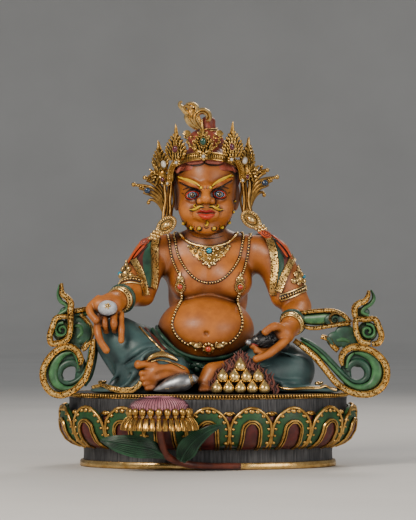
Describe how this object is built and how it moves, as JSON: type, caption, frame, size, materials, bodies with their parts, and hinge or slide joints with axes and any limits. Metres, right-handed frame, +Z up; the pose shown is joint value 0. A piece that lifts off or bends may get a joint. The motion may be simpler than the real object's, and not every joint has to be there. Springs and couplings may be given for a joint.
{
  "type": "jambhala statue",
  "caption": "Painted cast statue of a seated god of wealth in royal ease on an oval lotus throne, with crown, scarf volutes, conch, mongoose and a heap of jewels.",
  "frame": {"origin": "centre of the throne's flat underside", "axes": "+Z up, the figure faces -Y, and its right hand is at -X"},
  "size_m": [0.3111, 0.2264, 0.3287],
  "materials": {
    "throne_paint": "satin",
    "skin_paint": "satin",
    "antique_gilding": "antiqued satin",
    "scarf_paint": "satin",
    "fur_paint": "satin",
    "silvered_shell": "satin silver",
    "jewel_gilding": "satin",
    "lotus_paint": "satin"
  },
  "bodies": {
    "root": {"lotus_throne": "throne_paint", "figure": "skin_paint", "crown": "antique_gilding", "hair_jewel": "antique_gilding", "earring_right": "antique_gilding", "earring_left": "antique_gilding", "scarf_scroll_right": "scarf_paint", "scarf_scroll_left": "scarf_paint", "mongoose": "fur_paint", "conch": "silvered_shell", "jewel_pile": "jewel_gilding", "foot_lotus": "lotus_paint"}
  },
  "joints": []
}
